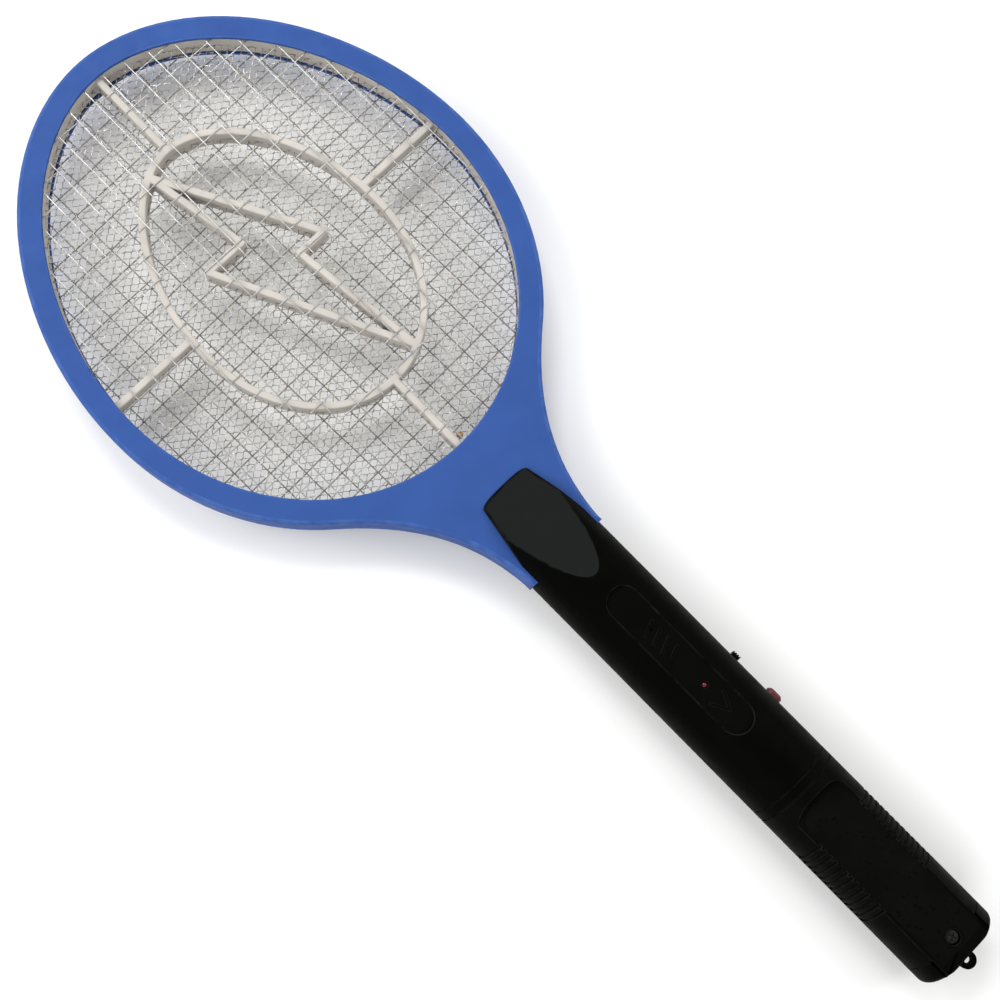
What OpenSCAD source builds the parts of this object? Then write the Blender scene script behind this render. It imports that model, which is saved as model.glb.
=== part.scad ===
// Electric fly swatter: a racket frame that holds a live mesh between two earthed wire guards, on a
// round handle with the high-voltage circuit, a slide switch, a push button and two AA cells.
// +Y runs from the handle to the tip of the head, +Z is the front face and X is the width.
// Places along the racket are stations: the distance in millimetres from the tip of the head.

/* [Head] */
// Overall width of the head
head_w = 172; // [140:1:210]
// Tip of the head to its widest station
tip_reach = 110; // [90:1:135]
// Widest station to the neck end of the rim's opening
neck_reach = 86; // [70:1:105]
// Roundness of the tip, where 2 is an ellipse and less is more pointed
tip_power = 1.9; // [1.8:0.05:2.2]
// Width of the rim's face
rim_w = 9; // [8:0.5:12]
// Thickness of the two frame halves together
rim_thk = 14; // [12:0.5:17]
// Wall of the hollow frame halves
rim_wall = 2; // [1.6:0.1:2.4]
// Face thickness of the frame halves
lip_thk = 1.4; // [1:0.1:2]
// Neck end of the rim's opening to the front of the handle's tongue
neck_gap = 21; // [16:1:30]
// Angle on the rim, measured from its widest station, where the neck starts to flare
flare_angle = 53; // [45:1:60]

/* [Guards and live mesh] */
// Spacing of the guard wires
guard_pitch = 9; // [7:0.5:11]
// Diameter of the guard wires
wire_d = 0.45; // [0.4:0.05:0.6]
// Space between the two crossing layers of guard wires
layer_gap = 0.06; // [0.04:0.01:0.1]
// How far the guards reach under the rim
guard_grip = 4.2; // [3.6:0.1:4.8]
// Turn of the rear guard against the front one
rear_turn = 1.5; // [0:0.5:2]
// Thickness of the flat sheet that holds the live mesh's place
live_thk = 0.2; // [0.15:0.05:0.4]
// How far the live mesh reaches under the rim
live_grip = 2.4; // [1:0.1:2.8]

/* [Spacers] */
// Width of the spacers' bars
bar_w = 2.7; // [2.2:0.1:3.2]
// Outside width of the inner ring
ring_w = 87; // [70:1:100]
// Widest station to the tip end of the inner ring
ring_tip = 66; // [55:1:75]
// Widest station to the neck end of the inner ring
ring_neck = 54; // [45:1:62]
// Side arms, measured from the widest station towards the tip
arm_offset = 7; // [0:1:12]

/* [Handle] */
// Wall of the handle's shells
shell_wall = 1.8; // [1.6:0.1:2.4]
// Depth of the flat along the handle's back
back_flat = 1.9; // [1.4:0.1:2.6]
// Width of the tongue at its front edge
tongue_w = 22; // [18:1:26]
// Widening of each side of the tongue for every millimetre of its length
tongue_spread = 0.18; // [0.1:0.01:0.25]
// Height of the tongue's front edge above the frame's face
tongue_edge = 1.1; // [0.8:0.1:2]
// Front of the tongue to the round part of the handle
wrap_len = 33; // [28:1:38]
// Length of the sloped facet on the tongue
facet_len = 45; // [40:1:52]
// Length of the frame's tang inside the handle
tang_len = 18; // [16:1:22]
// Distance of the tang screws from the middle
tang_screw_x = 7.4; // [7.2:0.1:7.8]
// Front of the tongue to the circuit board
nose_len = 59; // [56:1:66]
// Circuit board to the battery bay
mid_len = 22; // [20:1:30]
// Battery bay to the end of the handle
tail_len = 14.6; // [14:0.2:20]
// Rounding of the handle's end
end_round = 2.5; // [1.5:0.1:3.5]
// Spacing of the two seams round the handle
seam_gap = 3.8; // [3:0.1:5]
// Width and depth of the seam groove
seam_w = 0.5; // [0.3:0.1:0.8]

/* [Label recess] */
// Length of the recess
label_len = 66; // [60:1:72]
// Width of the recess
label_w = 12; // [10:0.5:13]
// Front of the tongue to the recess
label_from = 53; // [50:1:56]
// Thickness of the inlaid panel
label_thk = 1.2; // [1:0.1:1.6]
// Front of the tongue to the lamp
led_from = 98; // [90:1:104]

/* [Controls] */
// Front of the tongue to the slide switch, when off
slider_from = 100.5; // [96:0.5:104]
// Travel of the slide switch
slider_travel = 4; // [3:0.5:5]
// Length and height of the slide switch's knob
knob_size = 3.2; // [2.8:0.1:3.6]
// How far the knob and the button stand out of the handle
stand_out = 2; // [1.5:0.1:2.5]
// Front of the tongue to the push button
button_from = 119.5; // [117:0.5:122]
// Length of the push button
button_len = 6.5; // [6:0.1:7.5]
// Height of the push button
button_h = 4.5; // [4:0.1:5]
// Travel of the push button
button_travel = 1.2; // [0.8:0.1:1.4]

/* [Batteries] */
// Diameter of an AA cell
cell_d = 14.5; // [14:0.1:18]
// Length of an AA cell, with its button
cell_len = 50.5; // [44:0.1:62]
// Length of the pressed contact springs
spring_len = 5.8; // [5:0.1:8]
// Space between the two cells
cell_gap = 0.3; // [0.2:0.1:0.8]
// Depth of the cover's flat below the round handle
pad_drop = 4.1; // [3.6:0.1:4.5]
// Number of finger ribs on each side of the cover
rib_count = 13; // [9:1:15]
// Spacing of the finger ribs
rib_pitch = 2.5; // [2:0.1:2.8]

/* [Circuit board] */
// Length of the circuit board
board_len = 72; // [70:1:84]
// Thickness of the circuit board
board_thk = 1.6; // [1.2:0.1:2]
// Height of the board's top below the handle's axis
board_drop = 3.6; // [3.5:0.1:4.5]

/* [Lanyard eye] */
// Outside diameter of the eye
eye_d = 6.4; // [5.6:0.2:8]
// Diameter of the hole in the eye
eye_hole_d = 2.6; // [2:0.1:3.2]
// Thickness of the eye
eye_thk = 2.4; // [2:0.1:3]
// Handle's end to the middle of the hole
eye_out = 4.8; // [4.4:0.1:6]

/* [Fits] */
// Space between pieces that move against each other
move_gap = 0.3; // [0.2:0.05:0.4]
// Space between flat faces that only rest on each other
rest_gap = 0.1; // [0.05:0.05:0.2]
// Space round a cell
cell_clear = 0.25; // [0.2:0.05:0.5]
// Radial clearance of a screw in its bore
bore_clear = 0.05; // [0.02:0.01:0.1]

/* [Hidden] */
$fn = 48;

// Overall sizes and stations
bay_len = cell_len + spring_len + 1.1;
grip_len = nose_len + board_len + mid_len + bay_len + tail_len;
eye_reach = eye_out + eye_d / 2;
handle_r = cell_d + cell_gap / 2 + cell_clear + shell_wall;
inner_r = handle_r - shell_wall;
axis_h = handle_r - back_flat;
tongue_u = tip_reach + neck_reach + neck_gap;
wrap_u = tongue_u + wrap_len;
apex_u = tongue_u + facet_len;
tang_end_u = wrap_u + tang_len;
tang_screw_u = tang_end_u - 6;
board_u = tongue_u + nose_len;
board_end_u = board_u + board_len;
bay_u = board_end_u + mid_len;
bay_end_u = bay_u + bay_len;
end_u = tongue_u + grip_len;
total_len = end_u + eye_reach;
cover_u = bay_u - 6.4;
pad_u = cover_u + 3.9;
cap_u = end_u - 8;
mid_screw_u = cover_u - 7.6;
led_u = tongue_u + led_from;
slider_u = tongue_u + slider_from;
button_u = tongue_u + button_from;

// Head
opening_r = head_w / 2 - rim_w;
opening_tip = tip_reach - rim_w;
half_thk = rim_thk / 2;
loop_steps = 120;
guard_top = half_thk - lip_thk - 0.02;
guard_under = guard_top - 2 * wire_d - layer_gap;
spacer_top = guard_under - 0.02;
tang_half_w = sqrt(pow(inner_r - 0.6, 2) - half_thk * half_thk);
post_r = 2.6;
eyelet_x = 3.4;
eyelet_u = tip_reach + neck_reach - 3.2;

// Levels and walls in the handle
pad_z = handle_r - pad_drop;
label_z = handle_r - 1.4;
label_floor = label_z - label_thk;
board_top = -board_drop;
floor_z = -(axis_h - shell_wall);
end_wall = 1.8;
bay_wall = 1.6;
plate_t = 0.5;
cell_x = cell_d / 2 + cell_gap / 2;
nub_d = 5.5;
nub_len = 1.2;

// Screws
screw_r = 1.1;
screw_head_r = 2.4;
screw_head_h = 1.6;
boss_r = 3;
screw_seat_z = -(axis_h - 5.6);
cover_seat_z = pad_z - 2.3;

// Y of a station
function st(u) = total_len / 2 - u;

// A closed egg: half width a, reach bt towards the tip and bn towards the neck
function egg_power(t) = sin(t) >= 0 ? tip_power : 2;
function egg_reach(bt, bn, t) = sin(t) >= 0 ? bt : bn;
function egg_point(a, bt, bn, t) =
    let (k = 2 / egg_power(t))
    [a * sign(cos(t)) * pow(abs(cos(t)), k), egg_reach(bt, bn, t) * sign(sin(t)) * pow(abs(sin(t)), k)];
function egg_normal(a, bt, bn, t) =
    let (n = egg_power(t), k = 2 * (n - 1) / n)
    unit([sign(cos(t)) * pow(abs(cos(t)), k) / a, sign(sin(t)) * pow(abs(sin(t)), k) / egg_reach(bt, bn, t)]);
function unit(v) = v / norm(v);
function egg_loop(a, bt, bn, out) =
    [for (i = [0 : loop_steps - 1]) let (t = i * 360 / loop_steps)
        egg_point(a, bt, bn, t) + out * egg_normal(a, bt, bn, t)];

// Reach of the rim's opening, grown by out, up or down at x and sideways at y
function opening_y(x, out, up) =
    let (n = up ? tip_power : 2, b = (up ? opening_tip : neck_reach) + out)
    b * pow(max(0, 1 - pow(abs(x) / (opening_r + out), n)), 1 / n);
function opening_x(y, out) =
    let (n = y > 0 ? tip_power : 2, b = (y > 0 ? opening_tip : neck_reach) + out)
    (opening_r + out) * pow(max(0, 1 - pow(abs(y) / b, n)), 1 / n);

// Neck: the flare leaves the rim along its tangent and ends along the handle's side
flare_start = egg_point(opening_r, opening_tip, neck_reach, -flare_angle)
    + rim_w * egg_normal(opening_r, opening_tip, neck_reach, -flare_angle);
flare_normal = egg_normal(opening_r, opening_tip, neck_reach, -flare_angle);
flare_u = tip_reach - flare_start[1];
flare_rise = flare_start[0] - handle_r;
flare_slope = abs(flare_normal[1] / flare_normal[0]);
flare_power = flare_slope * (apex_u - flare_u) / flare_rise;
function flare_part(u) = 1 - (u - flare_u) / (apex_u - flare_u);
function flare_point(u, inset) =
    let (m = flare_slope * pow(flare_part(u), flare_power - 1), l = sqrt(1 + m * m))
    [handle_r + flare_rise * pow(flare_part(u), flare_power) - inset / l, st(u - inset * m / l)];

module at_head() {
    translate([0, st(tip_reach), 0]) children();
}

module on_axis() {
    translate([0, 0, axis_h]) children();
}

// A round bar along the racket between two stations
module rod(from_u, to_u, r) {
    translate([0, st(to_u), 0]) rotate([-90, 0, 0]) cylinder(r = r, h = to_u - from_u);
}

// A block between two stations, x0 to x1 wide and z0 to z1 high
module block(from_u, to_u, x0, x1, z0, z1) {
    translate([x0, st(to_u), z0]) cube([x1 - x0, to_u - from_u, z1 - z0]);
}

// A tube swept along a route, with ref a direction that the route never follows
function sweep_tangent(p, i) = unit(p[min(i + 1, len(p) - 1)] - p[max(i - 1, 0)]);
function sweep_ring(p, i, r, sides, ref) =
    let (t = sweep_tangent(p, i), a = unit(cross(t, ref)), b = cross(t, a))
    [for (k = [0 : sides - 1]) p[i] + r * (cos(k * 360 / sides) * a + sin(k * 360 / sides) * b)];
module sweep(p, d, sides = 8, ref = [0, 0, 1]) {
    rings = len(p);
    points = [for (i = [0 : rings - 1]) each sweep_ring(p, i, d / 2, sides, ref)];
    walls = [for (i = [0 : rings - 2], k = [0 : sides - 1])
        let (n = (k + 1) % sides)
        [i * sides + k, (i + 1) * sides + k, (i + 1) * sides + n, i * sides + n]];
    first = [for (k = [0 : sides - 1]) k];
    last = [for (k = [sides - 1 : -1 : 0]) (rings - 1) * sides + k];
    polyhedron(points = points, faces = concat(walls, [first, last]), convexity = 4);
}

// A flat bar with round ends
module bar(a, b, w) {
    d = b - a;
    translate(a) rotate(atan2(d[1], d[0])) translate([0, -w / 2]) square([norm(d), w]);
    translate(a) circle(d = w);
    translate(b) circle(d = w);
}

// A stadium, long along Y, centred
module stadium(l, w) {
    square([w, l - w], center = true);
    translate([0, (l - w) / 2]) circle(d = w);
    translate([0, -(l - w) / 2]) circle(d = w);
}

// Outline of the frame, drawn in by inset: rim, flared neck and tang
module rim_outline(inset) {
    at_head() polygon(egg_loop(opening_r, opening_tip, neck_reach, rim_w - inset));
}

module neck_outline(inset) {
    steps = 24;
    last_u = wrap_u - inset;
    side = [for (i = [0 : steps]) flare_point(flare_u + (last_u - flare_u) * i / steps, inset)];
    polygon(concat(side, [for (i = [steps : -1 : 0]) [-side[i][0], side[i][1]]]));
}

module tang_outline(inset, extra) {
    w = tang_half_w - inset;
    translate([-w, st(tang_end_u + extra)]) square([2 * w, tang_len + extra + 1 + inset]);
}

module frame_outline(inset = 0, extra = 0) {
    rim_outline(inset);
    neck_outline(inset);
    tang_outline(inset, extra);
}

// One half of the frame: a face, an outer wall and the two posts for the tang screws
module frame_half() {
    difference() {
        union() {
            translate([0, 0, half_thk - lip_thk]) linear_extrude(lip_thk) difference() {
                frame_outline();
                at_head() polygon(egg_loop(opening_r, opening_tip, neck_reach, 0));
            }
            linear_extrude(half_thk - lip_thk) difference() {
                frame_outline();
                frame_outline(rim_wall, 1);
            }
            for (s = [-1, 1]) translate([s * tang_screw_x, st(tang_screw_u), 0])
                cylinder(r = post_r, h = half_thk - lip_thk / 2);
        }
        for (s = [-1, 1]) translate([s * tang_screw_x, st(tang_screw_u), -1])
            cylinder(r = screw_r + move_gap, h = rim_thk);
    }
}

module frame_front() {
    color("royalblue") on_axis() frame_half();
}

module frame_rear() {
    color("royalblue") on_axis() mirror([0, 0, 1]) frame_half();
}

// Two crossing layers of straight wires, cut to the rim's opening, with their top at z = 0
module guard_wires(shift_x, shift_y) {
    nx = ceil(opening_r / guard_pitch);
    ny = ceil(opening_tip / guard_pitch);
    for (k = [-nx : nx]) let (x = k * guard_pitch + shift_x) if (abs(x) < opening_r - 1) {
        top = opening_y(x, guard_grip, true);
        low = opening_y(x, guard_grip, false);
        translate([x, -low, -wire_d / 2]) rotate([-90, 0, 0]) cylinder(d = wire_d, h = top + low, $fn = 16);
    }
    for (k = [-ny : ny]) let (y = k * guard_pitch + shift_y) if (y < opening_tip - 1 && y > 1 - neck_reach) {
        reach = opening_x(y, guard_grip);
        translate([-reach, y, -1.5 * wire_d - layer_gap]) rotate([0, 90, 0])
            cylinder(d = wire_d, h = 2 * reach, $fn = 16);
    }
}

module front_guard() {
    color("gainsboro") on_axis() at_head() translate([0, 0, guard_top])
        guard_wires(guard_pitch * 0.25, guard_pitch * 0.4);
}

module rear_guard() {
    color("gray") on_axis() at_head() rotate(rear_turn) mirror([0, 0, 1]) translate([0, 0, guard_top])
        guard_wires(guard_pitch * -0.15, guard_pitch * 0.1);
}

module live_mesh() {
    color("silver") on_axis() at_head() translate([0, 0, -live_thk / 2]) linear_extrude(live_thk)
        polygon(egg_loop(opening_r, opening_tip, neck_reach, live_grip));
}

// Spacer pattern: outer ring, four arms, inner ring and a zigzag bolt across it
bolt = [[-11.5, 61], [20, 4], [8, 4], [14.5, -49], [-20.5, 21], [-4.5, 21]];

module spacer_plan() {
    at_head() {
        difference() {
            polygon(egg_loop(opening_r, opening_tip, neck_reach, 3));
            polygon(egg_loop(opening_r, opening_tip, neck_reach, 0.3));
        }
        difference() {
            polygon(egg_loop(ring_w / 2, ring_tip, ring_neck, 0));
            polygon(egg_loop(ring_w / 2, ring_tip, ring_neck, -bar_w));
        }
        translate([-bar_w / 2, ring_tip - bar_w]) square([bar_w, opening_tip - ring_tip + bar_w + 1.5]);
        translate([-bar_w / 2, -neck_reach - 1.5]) square([bar_w, neck_reach - ring_neck + bar_w + 1.5]);
        reach = opening_x(arm_offset, 1.5);
        inner = ring_w / 2 - bar_w / 2;
        for (start = [inner, -reach]) translate([start, arm_offset - bar_w / 2]) square([reach - inner, bar_w]);
        for (i = [0 : len(bolt) - 1]) bar(bolt[i], bolt[(i + 1) % len(bolt)], bar_w);
    }
}

module spacer(notched) {
    base = live_thk / 2 + 0.02;
    difference() {
        translate([0, 0, base]) linear_extrude(spacer_top - base) spacer_plan();
        if (notched) block(eyelet_u + 2, eyelet_u + 9, eyelet_x - 1, eyelet_x + 1, 0, 2.3);
    }
}

module front_spacer() {
    color("linen") on_axis() spacer(true);
}

module rear_spacer() {
    color("linen") on_axis() mirror([0, 0, 1]) spacer(false);
}

// Brass eyelet soldered on the live mesh, beside the spacers' neck arm
module contact_eyelet() {
    base = live_thk / 2 + 0.01;
    color("peru") on_axis() translate([eyelet_x, st(eyelet_u), base]) difference() {
        union() {
            cylinder(r = 1.3, h = 0.5);
            cylinder(r = 0.95, h = 1.7);
        }
        translate([0, 0, -1]) cylinder(r = 0.55, h = 4);
    }
}

lead_d = 1.2;
pad_clear = lead_d / 2 + 0.05;

module live_lead() {
    z = live_thk / 2 + pad_clear + 0.4;
    color("firebrick") on_axis() sweep([
        [eyelet_x, st(eyelet_u + 1.45), z], [eyelet_x, st(eyelet_u + 10), z],
        [eyelet_x, st(wrap_u), z], [eyelet_x, st(tang_end_u), z],
        [eyelet_x, st(board_u + 1), 0], [eyelet_x, st(board_u + 4), board_top + pad_clear]
    ], lead_d);
}

// One lead from each guard, under the rim and through the neck to the board
module ground_leads() {
    rim_u = tip_reach + neck_reach + 3.9;
    lead_x = 3.4;
    color("black") on_axis() for (s = [-1, 1]) sweep([
        [-4.6, st(rim_u), s * (guard_under - pad_clear)], [-4.6, st(rim_u + 4), s * (guard_under - 1.4)],
        [-lead_x, st(rim_u + 14), s * 1.4], [-lead_x, st(wrap_u), s * 1.4],
        [-lead_x, st(tang_end_u), s * 1.4], [-lead_x - 2.5 + s, st(board_u + 1), s * 0.7],
        [-lead_x - 2.5 + s, st(board_u + 4), board_top + pad_clear]
    ], lead_d);
}

// Outer form of the handle: round, with a rounded end, a flat back and the sloped tongue
function end_profile() = concat(
    [[0, 0]],
    [for (a = [0 : 10 : 90]) [handle_r - end_round + end_round * sin(a), end_round - end_round * cos(a)]],
    [[handle_r, grip_len], [0, grip_len]]
);

facet_z = half_thk + tongue_edge;
facet_angle = atan((handle_r - facet_z) / facet_len);

module facet_cut(depth) {
    translate([-handle_r - 1, st(apex_u), handle_r - depth]) rotate([-facet_angle, 0, 0])
        cube([2 * handle_r + 2, facet_len * 1.3, handle_r]);
}

module tongue_plan() {
    nose = 2.8;
    square_up = 2 / 3;
    last_u = wrap_u + 2;
    front = [for (a = [0 : 9 : 180])
        [tongue_w / 2 * sign(cos(a)) * pow(abs(cos(a)), square_up),
            st(tongue_u + nose) + nose * pow(sin(a), square_up)]];
    side = tongue_w / 2 + tongue_spread * (last_u - tongue_u - nose);
    polygon(concat(front, [[-side, st(last_u)], [side, st(last_u)]]));
}

module pad_plan(from_u, grow) {
    w = sqrt(handle_r * handle_r - pad_z * pad_z) + grow;
    nose = 7;
    square_up = 0.8;
    front = [for (a = [0 : 9 : 180])
        [w * sign(cos(a)) * pow(abs(cos(a)), square_up), st(from_u + nose) + nose * pow(sin(a), square_up)]];
    polygon(concat(front, [[-w, st(end_u + 1)], [w, st(end_u + 1)]]));
}

module grip_form() {
    difference() {
        intersection() {
            translate([0, st(end_u), 0]) rotate([-90, 0, 0]) rotate_extrude() polygon(end_profile());
            union() {
                block(wrap_u, end_u + 1, -handle_r - 1, handle_r + 1, -handle_r, handle_r + 1);
                translate([0, 0, -handle_r]) linear_extrude(2 * handle_r) tongue_plan();
            }
        }
        facet_cut(0);
        mirror([0, 0, 1]) facet_cut(0);
        block(tongue_u - 1, end_u + 1, -handle_r, handle_r, -handle_r - 1, -axis_h);
        translate([0, 0, pad_z]) linear_extrude(handle_r) pad_plan(pad_u, 0.5);
        for (u = [cover_u - seam_gap, cover_u]) difference() {
            rod(u - seam_w / 2, u + seam_w / 2, handle_r + 1);
            rod(u - seam_w, u + seam_w, handle_r - seam_w);
        }
    }
}

// Room inside the handle, and the room that the frame's neck and tang take
module grip_room() {
    difference() {
        union() {
            rod(wrap_u + shell_wall, end_u - end_wall, inner_r);
            block(tongue_u + 12, wrap_u + shell_wall + 1, -8, 8, -inner_r, inner_r);
        }
        facet_cut(shell_wall);
        mirror([0, 0, 1]) facet_cut(shell_wall);
        block(tongue_u, end_u, -handle_r, handle_r, -handle_r, floor_z);
        translate([0, 0, pad_z - shell_wall]) linear_extrude(handle_r) pad_plan(pad_u - shell_wall, 1);
    }
}

module frame_room() {
    z = half_thk + 0.02;
    block(tongue_u - 1, wrap_u, -handle_r - 2, handle_r + 2, -z, z);
    block(wrap_u - 1, tang_end_u + 0.5, -tang_half_w - 0.05, tang_half_w + 0.05, -z, z);
}

// Slots and holes for the knob and the button in the handle's right side
module control_holes() {
    slot_h = knob_size + 2 * move_gap;
    block(slider_u - slider_travel - knob_size / 2 - move_gap, slider_u + knob_size / 2 + move_gap,
        inner_r - 2, handle_r + 1, knob_z - slot_h / 2, knob_z + slot_h / 2);
    translate([inner_r - 2, st(button_u), 0]) rotate([0, 90, 0]) linear_extrude(shell_wall + 3)
        stadium(button_len + 2 * move_gap, button_h + 2 * move_gap);
}

module front_part_only(to_u) {
    block(tongue_u - 1, to_u, -handle_r - 1, handle_r + 1, 0, handle_r + 1);
}

// Ledge inside the front shell that the battery cover's end rests on
ledge_len = pad_u - shell_wall - cover_u - move_gap;

module cover_ledge() {
    intersection() {
        front_part_only(cover_u + ledge_len);
        difference() {
            union() {
                rod(cover_u - 2.6, cover_u + ledge_len, inner_r - move_gap);
                rod(cover_u - 2.6, cover_u - 0.2, inner_r + 0.2);
            }
            rod(cover_u - 3, cover_u + 3, inner_r - 1.5);
        }
    }
}

module handle_front() {
    color("#1c1c1c") on_axis() difference() {
        union() {
            intersection() {
                front_part_only(cover_u);
                difference() {
                    grip_form();
                    grip_room();
                    frame_room();
                }
            }
            intersection() {
                grip_form();
                union() {
                    block(tongue_u + label_from - 2, tongue_u + label_from + label_len + 2,
                        -label_w / 2 - 1.5, label_w / 2 + 1.5, label_floor - 1.5, handle_r);
                    for (s = [-1, 1]) translate([s * tang_screw_x, st(tang_screw_u), half_thk + 0.02])
                        cylinder(r = boss_r, h = handle_r);
                    translate([0, st(mid_screw_u), 0]) cylinder(r = boss_r, h = handle_r);
                }
            }
            cover_ledge();
        }
        translate([0, st(tongue_u + label_from + label_len / 2), label_floor]) linear_extrude(handle_r)
            stadium(label_len, label_w);
        translate([0, st(led_u), 0]) cylinder(r = led_r + 0.05, h = handle_r);
        control_holes();
        for (s = [-1, 1]) translate([s * tang_screw_x, st(tang_screw_u), 0])
            cylinder(r = screw_r + bore_clear, h = tang_screw_tip + 0.6);
        translate([0, st(mid_screw_u), -1]) cylinder(r = screw_r + bore_clear, h = mid_screw_tip + 1.6);
    }
}

tang_screw_tip = half_thk + 4;
mid_screw_tip = 8;

// Screw boss standing on the handle's floor, up to a level
module floor_boss(x, u, top) {
    intersection() {
        grip_form();
        translate([x, st(u), -handle_r]) cylinder(r = boss_r, h = handle_r + top);
    }
}

// Bore through a floor boss, with the recess for the screw's head
module floor_screw_hole(x, u, top) {
    translate([x, st(u), screw_seat_z - 1]) cylinder(r = screw_r + move_gap, h = top - screw_seat_z + 2);
    translate([x, st(u), -handle_r - 1])
        cylinder(r = screw_head_r + 0.15, h = screw_seat_z + handle_r + 1);
}

// Cross wall inside the handle's rear shell, up to a level
module cross_wall(from_u, to_u, top) {
    intersection() {
        rod(from_u, to_u, inner_r + 0.3);
        block(from_u, to_u, -handle_r, handle_r, floor_z - 0.3, top);
    }
}

module handle_rear() {
    below = [-handle_r - 1, handle_r + 1, -handle_r - 1, 0];
    color("#1c1c1c") on_axis() difference() {
        union() {
            difference() {
                intersection() {
                    grip_form();
                    union() {
                        block(tongue_u - 1, end_u + 1, below[0], below[1], below[2], below[3]);
                        block(cap_u + move_gap, end_u + 1, below[0], below[1], -1, handle_r + 1);
                    }
                }
                grip_room();
                frame_room();
                translate([0, 0, pad_z - shell_wall - rest_gap]) linear_extrude(handle_r)
                    pad_plan(pad_u, 0.8);
            }
            for (s = [-1, 1]) floor_boss(s * tang_screw_x, tang_screw_u, -half_thk - 0.02);
            floor_boss(0, mid_screw_u, -0.05);
            cross_wall(board_u + 3, board_u + 4.5, board_top - board_thk);
            cross_wall(board_end_u - 4.5, board_end_u - 3, board_top - board_thk);
            cross_wall(bay_u - bay_wall, bay_u, -0.1);
            cross_wall(bay_end_u, bay_end_u + bay_wall, -0.1);
            difference() {
                union() for (u = [bay_u + 14, bay_end_u - 14]) cross_wall(u - 0.8, u + 0.8, -1);
                for (s = [-1, 1]) translate([s * cell_x, 0, 0]) rod(bay_u, bay_end_u, cell_d / 2 + 0.05);
            }
            floor_boss(0, cap_u, cover_seat_z - 2.2);
            translate([0, st(end_u + eye_out), -eye_thk / 2]) cylinder(d = eye_d, h = eye_thk);
            block(end_u - 0.5, end_u + eye_out, -eye_d / 2, eye_d / 2, -eye_thk / 2, eye_thk / 2);
        }
        translate([0, st(end_u + eye_out), -eye_thk]) cylinder(d = eye_hole_d, h = 2 * eye_thk);
        for (s = [-1, 1]) floor_screw_hole(s * tang_screw_x, tang_screw_u, -half_thk);
        floor_screw_hole(0, mid_screw_u, 0);
        translate([0, st(cap_u), cover_screw_tip - 0.6]) cylinder(r = screw_r + bore_clear, h = handle_r);
        control_holes();
    }
}

// Inlaid panel of the label recess: a few plain raised bars, the lamp's hole and a small dimple
module label_panel() {
    middle_u = tongue_u + label_from + label_len / 2;
    fit = 0.1;
    color("#222222") on_axis() difference() {
        union() {
            translate([0, st(middle_u), label_floor + 0.02]) linear_extrude(label_thk - 0.02)
                stadium(label_len - 2 * fit, label_w - 2 * fit);
            translate([0, 0, label_floor + label_thk - 0.1]) linear_extrude(0.5) {
                for (i = [0 : 3]) bar([-2.6, st(middle_u - 2 - 4 * i)], [2.6, st(middle_u - 4 - 4 * i)], 1.3);
                for (s = [-1, 1]) bar([s * 3.2, st(led_u + 6)], [0, st(led_u + 12)], 1.3);
            }
        }
        translate([0, st(led_u), 0]) cylinder(r = led_hole_r, h = handle_r);
        translate([0, st(middle_u - 14), label_z - 0.6]) cylinder(r = 0.75, h = 2);
    }
}

led_r = 1.5;
led_hole_r = 1.25;

// Lamp: a flange, a round body and a domed lens that looks up through the panel's hole
module led() {
    shoulder = label_floor - 0.9;
    base = shoulder - 4;
    profile = concat(
        [[0, base], [led_r + 0.4, base], [led_r + 0.4, base + 1], [led_r, base + 1]],
        [for (a = [0 : 10 : 90]) [led_r * cos(a), shoulder + led_r * sin(a)]]
    );
    color("crimson") on_axis() translate([0, st(led_u), 0]) {
        rotate_extrude() polygon(profile);
        for (s = [-1, 1]) translate([s * 1.27, 0, board_top]) cylinder(r = 0.25, h = base - board_top + 0.1);
    }
}

module circuit_board() {
    w = 2 * sqrt(pow(inner_r - 0.5, 2) - pow(board_drop + board_thk, 2));
    color("darkgoldenrod") on_axis()
        block(board_u, board_end_u, -w / 2, w / 2, board_top - board_thk, board_top);
}

// Transformer: a ferrite core with two windows, and the coil on its middle leg
coil_u = board_u + 15;
core_base = board_top + 2.8;

module transformer_core() {
    color("dimgray") on_axis() difference() {
        block(coil_u - 8, coil_u + 8, -7, 7, core_base, core_base + 5);
        for (s = [-1, 1]) block(coil_u + s * 3.9 - 1.8, coil_u + s * 3.9 + 1.8, -4.6, 4.6, core_base - 1, core_base + 6);
    }
}

module transformer_coil() {
    color("gold") on_axis() difference() {
        block(coil_u - 5.5, coil_u + 5.5, -4.4, 4.4, board_top + 0.05, core_base + 7.6);
        block(coil_u - 2.2, coil_u + 2.2, -5, 5, core_base - 0.1, core_base + 5.1);
    }
}

module storage_capacitors() {
    color("sienna") on_axis() for (u = [board_u + 27.5, board_u + 32.5, board_u + 48]) {
        block(u - 2, u + 2, -5.5, 5.5, board_top + 1, board_top + 10);
        for (s = [-1, 1]) translate([s * 3.75, st(u), board_top]) cylinder(r = 0.3, h = 1.2);
    }
}

// A part with a lead at each end, lying along the board
module axial_part(x, u, d, l, reach) {
    z = board_top + d / 2 + 0.3;
    translate([x, st(u + l / 2), z]) rotate([-90, 0, 0]) cylinder(d = d, h = l);
    translate([x, st(u + reach), z]) rotate([-90, 0, 0]) cylinder(d = 0.6, h = 2 * reach);
    for (s = [-1, 1]) translate([x, st(u + s * (reach - 0.3)), board_top]) cylinder(d = 0.6, h = z - board_top);
}

module rectifier_diodes() {
    color("#333333") on_axis() for (i = [0 : 3]) axial_part(-10, board_u + 26 + 11 * i, 2.6, 4.6, 4.4);
}

module resistors() {
    color("tan") on_axis() for (i = [0 : 1]) axial_part(-3.4, board_u + 57 + 9.5 * i, 1.9, 3.6, 3.6);
}

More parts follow.
